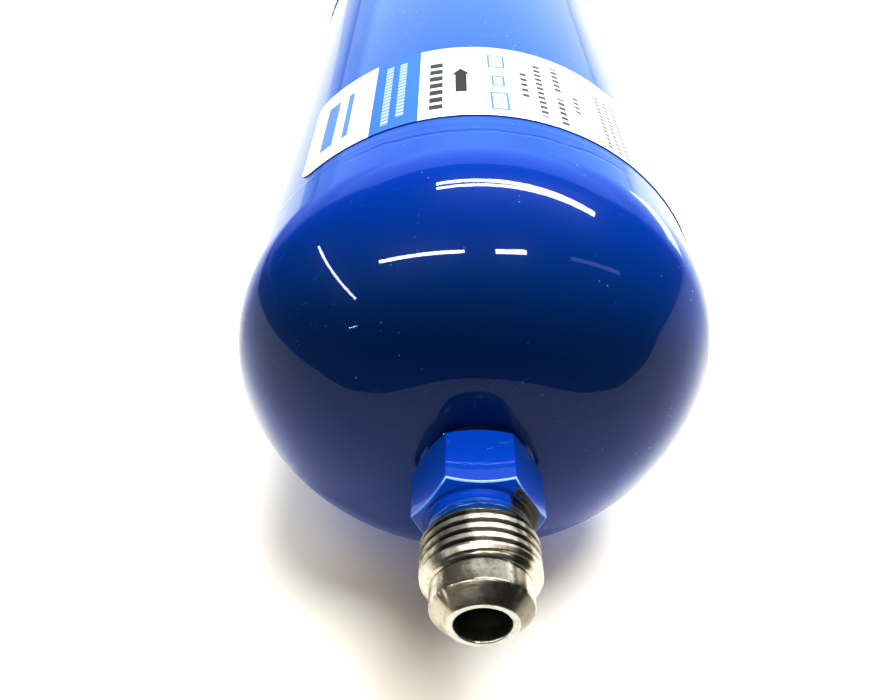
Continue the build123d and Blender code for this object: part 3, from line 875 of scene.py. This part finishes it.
def label_finish():
    """Printed film: two cream panels, a blue block, a plain flow arrow and rows of plain bars."""
    f = Finish("printed_film")
    across = f.turn() * (SHELL_R / MM) + (f.noise(0.5 * MM, 1.0) - 0.5) * 0.07
    along = (f.y - LABEL_NEAR) * (1 / MM)

    def panel(left, right, low, high, soft=0.06):
        return f.band(across, left, right, soft) * f.band(along, low, high, soft)

    def outline(left, right, low, high):
        hollow = panel(left + 0.35, right - 0.35, low + 0.5, high - 0.5)
        return panel(left, right, low, high, 0.12) - hollow

    def row(middle, height, low, high, letter, share):
        """A row of plain bars, as long as a line of print."""
        beat = along / letter
        gap = f.step(beat - f.maths("FLOOR", beat), share, share + 0.06, 1.0, 0.0)
        return panel(middle - height / 2, middle + height / 2, low, high) * gap

    cream = f.mix(f.noise(12 * MM), (0.535, 0.51, 0.41), (0.56, 0.535, 0.445))
    white = f.mix(f.noise(15 * MM), (0.585, 0.575, 0.535), (0.61, 0.605, 0.575))
    colour = f.mix(f.step(across, -9.25, -9.15), cream, white)
    colour = f.mix(panel(*BLUE_BLOCK), colour, (0.020, 0.115, 0.42))
    colour = f.mix(sum(row(*line) for line in PALE_PRINT) * 0.7, colour, (0.40, 0.47, 0.56))
    colour = f.mix(sum(panel(*place) for place in LOGO_PLACES) * 0.9, colour, (0.03, 0.13, 0.42))
    colour = f.mix(sum(outline(*place) for place in MARK_PLACES) * 0.95, colour, (0.03, 0.15, 0.46))
    from_middle = f.maths("ABSOLUTE", across - ARROW_MIDDLE)
    head = f.band(from_middle - (ARROW_TIP - along) * 0.62, -9.0, 0.0, 0.05)
    arrow = panel(*ARROW_SHAFT) + f.band(along, ARROW_SHAFT[3], ARROW_TIP - 0.05, 0.05) * head
    ink = arrow + row(*BOLD_PRINT) * 0.97 + sum(row(*line) for line in FINE_PRINT) * 0.92
    colour = f.mix(f.maths("MINIMUM", ink, 1.0), colour, (0.010, 0.010, 0.011))
    off_edges = f.band(along, 0.5, 27.1, 0.5) * f.step(across, -30.0, -29.2)
    edge_dirt = f.step(f.noise(2.4 * MM, 3.0, 0.6), 0.55, 0.8) * (1.0 - off_edges)
    colour = f.mix(edge_dirt * 0.35, colour, (0.35, 0.33, 0.30))
    paper = f.noise(0.35 * MM, 2.0, 0.6)
    return f.done(
        Base_Color=colour,
        Roughness=0.38 + paper * 0.12,
        Specular_IOR_Level=0.25,
        Normal=f.bump(paper * 0.4 + f.noise(7 * MM) * 3.0, 0.01 * MM),
    )


def pressed_steel(name, colour, roughness):
    f = Finish(name)
    grain = f.noise(0.8 * MM, 3.0, 0.6, f.stretched(1.0, 1.0, 5.0))
    blotch = f.step(f.noise(9 * MM, 3.0, 0.6), 0.4, 0.7)
    dark = tuple(c * 0.72 for c in colour)
    return f.done(
        Base_Color=f.mix(blotch, colour, dark),
        Metallic=1.0,
        Roughness=roughness + grain * 0.15 + blotch * 0.08,
        Normal=f.bump(grain, 0.02 * MM, 0.7),
    )


def spring_finish():
    f = Finish("oiled_spring_wire")
    drawn = f.noise(0.4 * MM, 2.0, 0.6, f.stretched(1.0, 3.0, 1.0))
    oil = f.step(f.noise(6 * MM, 2.0), 0.4, 0.7)
    return f.done(
        Base_Color=f.mix(oil, (0.30, 0.29, 0.28), (0.17, 0.15, 0.13)),
        Metallic=1.0,
        Roughness=0.30 + drawn * 0.2,
        Normal=f.bump(drawn, 0.015 * MM),
    )


def desiccant_finish():
    """Bonded beads: pale tan grains with darker binder between them."""
    f = Finish("bonded_desiccant")
    beads = f.cells(1.3 * MM)
    tint = f.lots(1.3 * MM)
    fine = f.noise(0.35 * MM, 3.0, 0.7)
    pale = f.mix(tint, (0.60, 0.50, 0.38), (0.74, 0.66, 0.54))
    colour = f.mix(f.step(beads, 0.35, 0.65), pale, (0.40, 0.31, 0.22))
    return f.done(
        Base_Color=colour,
        Roughness=0.86 + fine * 0.1,
        Normal=f.bump(fine * 0.3 - beads, 0.25 * MM, 0.9),
    )


def felt_finish():
    f = Finish("pressed_felt")
    fibres = f.noise(0.45 * MM, 4.0, 0.75, distortion=1.2)
    loft = f.noise(5 * MM, 2.0)
    colour = f.mix(fibres, (0.62, 0.60, 0.55), (0.84, 0.82, 0.78))
    return f.done(
        Base_Color=f.mix(loft * 0.3, colour, (0.52, 0.49, 0.44)),
        Roughness=0.93,
        Sheen_Weight=0.4,
        Normal=f.bump(fibres + loft * 0.5, 0.2 * MM, 0.8),
    )


def glass_fibre_finish():
    f = Finish("glass_fibre_cloth")
    strands = f.noise(0.5 * MM, 3.0, 0.7, f.stretched(1.0, 0.2, 1.0), 0.8)
    cross = f.noise(0.5 * MM, 3.0, 0.7, f.stretched(0.3, 1.4, 0.3), 0.8)
    web = f.maths("MAXIMUM", strands, cross)
    return f.done(
        Base_Color=f.mix(web, (0.66, 0.66, 0.60), (0.90, 0.90, 0.86)),
        Roughness=0.7 + strands * 0.15,
        Sheen_Weight=0.2,
        Normal=f.bump(web, 0.12 * MM, 0.8),
    )


def gasket_finish():
    f = Finish("fibre_gasket")
    fleck = f.noise(0.8 * MM, 3.0, 0.7)
    return f.done(
        Base_Color=f.mix(fleck, (0.20, 0.17, 0.13), (0.36, 0.30, 0.23)),
        Roughness=0.8 + fleck * 0.15,
        Normal=f.bump(fleck, 0.08 * MM, 0.7),
    )


def strainer_finish():
    """Fine brass-coloured cloth: round wires, with the meshes between them painted dark as painted
    shade.
    """
    f = Finish("strainer_cloth")
    warp = f.maths("SINE", f.turn() * 60.0)
    weft = f.maths("SINE", f.y * (2 * pi / (0.45 * MM)))
    wires = f.maths("MAXIMUM", warp, weft)
    # The meshes between the wires are painted dark: painted shade.
    brass = f.step(wires, 0.1, 0.5)
    return f.done(
        Base_Color=f.mix(brass, (0.05, 0.045, 0.04), (0.66, 0.58, 0.42)),
        Metallic=brass,
        Roughness=0.35,
        Normal=f.bump(wires, 0.06 * MM, 0.9),
    )


# ------------------------------------------------------------------ the drier

paint = enamel_finish()
fitting = fitting_finish()
worn_by = {
    paint: ("shell_body", "outlet_cap", "girth_weld", "inlet_braze_ring", "outlet_braze_ring"),
    fitting: ("inlet_fitting", "outlet_fitting"),
    label_finish(): ("label",),
    pressed_steel("drawn_plate_steel", (0.60, 0.59, 0.57), 0.28): (
        "spring_plate",
        "outlet_support_plate",
        "inlet_diffuser",
    ),
    spring_finish(): ("core_spring",),
    desiccant_finish(): ("drier_core",),
    gasket_finish(): ("core_gasket",),
    strainer_finish(): ("outlet_strainer",),
    felt_finish(): ("inlet_felt_pad", "outlet_felt_pad"),
    glass_fibre_finish(): ("core_wrap",),
    pressed_steel("gauze_wire", (0.62, 0.61, 0.58), 0.25): ("inlet_gauze", "outlet_gauze"),
}
finish_of = {}
for material, names in worn_by.items():
    for name in names:
        finish_of[name] = material
        nodes[name].data.materials.clear()
        nodes[name].data.materials.append(material)

add_piece("drawn_shell", drawn_cup("drawn_shell", JOINT_Y), paint, "blue_enamel", "shell_body")
cap_mesh = turned_end_for_end(drawn_cup("drawn_cap", -JOINT_Y))
add_piece("drawn_cap", cap_mesh, paint, "blue_enamel", "outlet_cap")
inlet_mesh = flare_fitting(fitting)
add_piece("inlet_flare_fitting", inlet_mesh, fitting, "plated_steel", "inlet_fitting")
outlet_mesh = turned_end_for_end(inlet_mesh)
add_piece("outlet_flare_fitting", outlet_mesh, fitting, "plated_steel", "outlet_fitting")
add_piece("girth_weld_bead", weld_bead(paint), paint, "blue_enamel", "girth_weld")
for node in ("inlet_gauze", "outlet_gauze"):
    wire = finish_of[node]
    cloth = node + "_cloth"
    add_piece(cloth, woven_gauze(cloth, node, wire), wire, "wire_gauze", node)
for node in ("inlet_felt_pad", "outlet_felt_pad"):
    soft = node + "_soft"
    pad = add_piece(soft, soft_disc(soft, node), finish_of[node], "felt", node)
sleeve_mesh = fibre_sleeve("core_wrap_cloth", "core_wrap")
add_piece("core_wrap_cloth", sleeve_mesh, finish_of["core_wrap"], "glass_fibre", "core_wrap")

# ------------------------------------------------------------------ studio


def studio_surface(name, points, faces, material, in_view):
    """A surface of the studio that neither lights nor shades the drier."""
    mesh = bpy.data.meshes.new(name)
    mesh.from_pydata(points, [], faces)
    mesh.materials.append(material)
    surface = bpy.data.objects.new(name, mesh)
    scene.collection.objects.link(surface)
    surface.visible_camera = in_view
    surface.visible_diffuse = False
    surface.visible_shadow = False


def table_finish():
    f = Finish("white_table")
    colour = f.mix(f.noise(60 * MM), (0.86, 0.85, 0.83), (0.9, 0.89, 0.87))
    return f.done(Base_Color=colour, Roughness=0.45)


def surround_finish():
    """Black cloth, with a grey end at the far left."""
    f = Finish("black_flag")
    black = f.mix(f.noise(2 * MM), (0.008, 0.008, 0.01), (0.014, 0.014, 0.016))
    grey_end = f.step(f.y, 0.25, 0.38) * (f.x < 0.0)
    return f.done(Base_Color=f.mix(grey_end, black, (0.45, 0.46, 0.47)), Roughness=0.9)


TABLE_Z = -38.85 * MM
TABLE_HALF = 3.0
SURROUND_Z = TABLE_Z + 1 * MM
SURROUND_OUTER_R = 2.9
# Where the white of the table ends, as the enamel's gloss shows it: a line round the drier.
WHITE_EDGE = [
    (-0.05, 0.44), (-0.18, 0.49), (-0.25, 0.54), (-0.31, 0.40), (-0.34, 0.20),
    (-0.313, 0.042), (-0.289, -0.034), (-0.265, -0.125), (-0.207, -0.191), (-0.137, -0.206),
    (-0.098, -0.238), (-0.075, -0.304), (-0.05, -0.385), (0.0, -0.42), (0.05, -0.395),
    (0.095, -0.33), (0.117, -0.235), (0.155, -0.187), (0.25, -0.172), (0.6, -0.17),
    (1.0, 0.0), (1.6, 0.6),
]  # fmt: skip

signs = ((-1, -1), (1, -1), (1, 1), (-1, 1))
corners = [(x * TABLE_HALF, y * TABLE_HALF, TABLE_Z) for x, y in signs]
studio_surface("table_top", corners, [(0, 1, 2, 3)], table_finish(), True)

# The dark studio beyond the white table, which only the enamel's gloss shows.
inner = [Vector((*point, SURROUND_Z)) for point in WHITE_EDGE]
outer = [Vector((*(Vector(point).normalized() * SURROUND_OUTER_R), SURROUND_Z)) for point in WHITE_EDGE]
count = len(inner)
quads = [(k, k + 1, count + k + 1, count + k) for k in range(count - 1)]
studio_surface("dark_surround", inner + outer, quads, surround_finish(), False)

DRIER_MIDDLE = Vector((0, 0, 0))
STRIP_HEIGHT = 1.0
STRIP_FROM = Vector((0, -0.08, 0.034))
SOFT_BOX_R = 1.6


def area_light(name, middle, along, aim, length, width, power, colour=(1, 1, 1), shape="RECTANGLE"):
    data = bpy.data.lights.new(name, "AREA")
    data.shape = shape
    data.size = length
    data.size_y = width
    data.energy = power
    data.color = colour
    lamp = bpy.data.objects.new(name, data)
    back = (middle - aim).normalized()
    across = back.cross(along).normalized()
    turn = Matrix((across.cross(back), across, back)).transposed().to_4x4()
    lamp.matrix_world = Matrix.Translation(middle) @ turn
    lamp.visible_camera = False
    scene.collection.objects.link(lamp)
    return lamp


def strip_light(name, start, end, width, brightness):
    """A ceiling strip; start and end are x and y over height, as the dome sees them."""
    a, b = (STRIP_FROM + Vector((*point, 1)) * STRIP_HEIGHT for point in (start, end))
    power = brightness * (b - a).length * width * pi
    lamp = area_light(name, (a + b) / 2, (b - a).normalized(), STRIP_FROM, (b - a).length, width, power)
    lamp.visible_diffuse = False


# Name: start, end, width and brightness.
STRIPS = {
    "overhead_strip_near": ((-0.34, 0.05), (0.92, 0.056), 0.036, 96),
    "overhead_strip_far": ((-0.34, 0.0), (0.92, 0.024), 0.03, 90),
    "front_strip_left": ((-0.94, -0.71), (-0.08, -0.70), 0.04, 100),
    "front_strip_middle": ((0.17, -0.70), (0.45, -0.68), 0.055, 80),
    "front_strip_right": ((1.08, -0.65), (1.85, -0.63), 0.06, 5),
    "side_strip": ((-2.25, 0.1), (-2.2, -1.45), 0.05, 58),
    "low_strip": ((-4.5, -3.8), (-4.9, -4.0), 0.06, 45),
}
for name, strip in STRIPS.items():
    strip_light(name, *strip)


def soft_box(name, azimuth, elevation, size, power, colour=(1, 1, 1)):
    """A large soft light that isn't seen in the enamel's gloss."""
    a, e = radians(azimuth), radians(elevation)
    back = Vector((sin(a) * cos(e), cos(a) * cos(e), sin(e)))
    along = Vector((cos(a), -sin(a), 0))
    lamp = area_light(name, back * SOFT_BOX_R, along, DRIER_MIDDLE, size, size, power, colour, "DISK")
    lamp.visible_glossy = False
    return lamp


WARM_WHITE = (1.0, 0.98, 0.93)
soft_box("soft_key", 10, 69, 0.35, 55.0)
soft_box("table_key", 60, 77, 1.15, 63.0, WARM_WHITE)
table_fill = soft_box("table_fill", 180, 60, 0.9, 11.2, (1.0, 0.82, 0.42))
table_fill.data.use_shadow = False
soft_box("fitting_front", 180, 72, 0.6, 40.0)
fitting_key = soft_box("fitting_key", 60, 74, 0.9, 2.4, WARM_WHITE)
fitting_key.visible_glossy = True
window_place = Vector((0.766, 0.643, 0.02)) * 0.8
area_light("right_window", window_place, Vector((0, 0, 1)), DRIER_MIDDLE, 0.12, 0.36, 1.2)

# Each lamp lights the set that its name starts with, and a lamp with no set of its own lights the
# drier. So the table and the fittings have lamps of their own, and the soft key leaves out the
# fittings.
SETS = ("table", "drier", "fitting", "soft")
lit_sets = {name: bpy.data.collections.new(name + "_set") for name in SETS}
for thing in scene.objects:
    if thing.name == "table_top":
        lit_sets["table"].objects.link(thing)
    elif thing.type == "MESH":
        lit_sets["drier"].objects.link(thing)
        lit_sets["fitting" if thing.name.endswith("flare_fitting") else "soft"].objects.link(thing)
for thing in scene.objects:
    if thing.type == "LIGHT":
        kind = thing.name.split("_")[0]
        thing.light_linking.receiver_collection = lit_sets.get(kind, lit_sets["drier"])

world = bpy.data.worlds.new("soft_studio")
world.use_nodes = True
scene.world = world
sky = Tree(world.node_tree)
sky_x, sky_y, sky_z = sky.parts(sky.node("ShaderNodeTexCoord", out="Generated"))
bearing = sky.maths("ARCTAN2", sky_x, sky_y)
ahead = sky.step(sky_y - sky_z * 0.49, 0.0, 0.015)
far_wall = sky.band(bearing, radians(-54), radians(62), radians(6)) * ahead
sill = sky.step(sky_z, 0.05, 0.1, 0.65)
above_sill = sky.maths("MAXIMUM", sill, sky.step(bearing, -0.3, 0.1))
from_table = sky.step(sky_z, 0.0, -0.1)
glow = 0.03 + far_wall * above_sill * (1.85 + sky.step(sky_z, 0.36, 0.5) * 1.4) + from_table * 0.95
light = sky.node("ShaderNodeBackground", None, (0.9, 0.96, 1.0), glow)
sky.node("ShaderNodeOutputWorld", None, Surface=light)

scene.view_settings.view_transform = "Standard"
scene.view_settings.look = "None"
scene.view_settings.use_curve_mapping = True
tone = scene.view_settings.curve_mapping
tone.extend = "EXTRAPOLATED"
# The dark tones are deepened a little.
for x, y in ((0.05, 0.022), (0.25, 0.14), (0.55, 0.5)):
    tone.curves[3].points.new(x, y)
tone.update()

# ------------------------------------------------------------------ camera

EYE = (-0.005497, -0.180362, 0.089508)
PITCH_DOWN, YAW, ROLL = 0.685274, 0.0060004, 0.0136947
LENS_MM = 34.34
SENSOR_MM = 36.0


def set_camera():
    ahead = Vector((sin(YAW) * cos(PITCH_DOWN), cos(YAW) * cos(PITCH_DOWN), -sin(PITCH_DOWN)))
    right = Vector((cos(YAW), -sin(YAW), 0))
    above = right.cross(ahead)
    rolled_right = right * cos(ROLL) + above * sin(ROLL)
    rolled_up = above * cos(ROLL) - right * sin(ROLL)
    data = bpy.data.cameras.new("camera")
    data.sensor_fit = "HORIZONTAL"
    data.sensor_width = SENSOR_MM
    data.lens = LENS_MM
    data.clip_start = 0.005
    data.clip_end = 20.0
    eye = bpy.data.objects.new("camera", data)
    turn = Matrix((rolled_right, rolled_up, -ahead)).transposed().to_4x4()
    eye.matrix_world = Matrix.Translation(EYE) @ turn
    scene.collection.objects.link(eye)
    scene.camera = eye


set_camera()
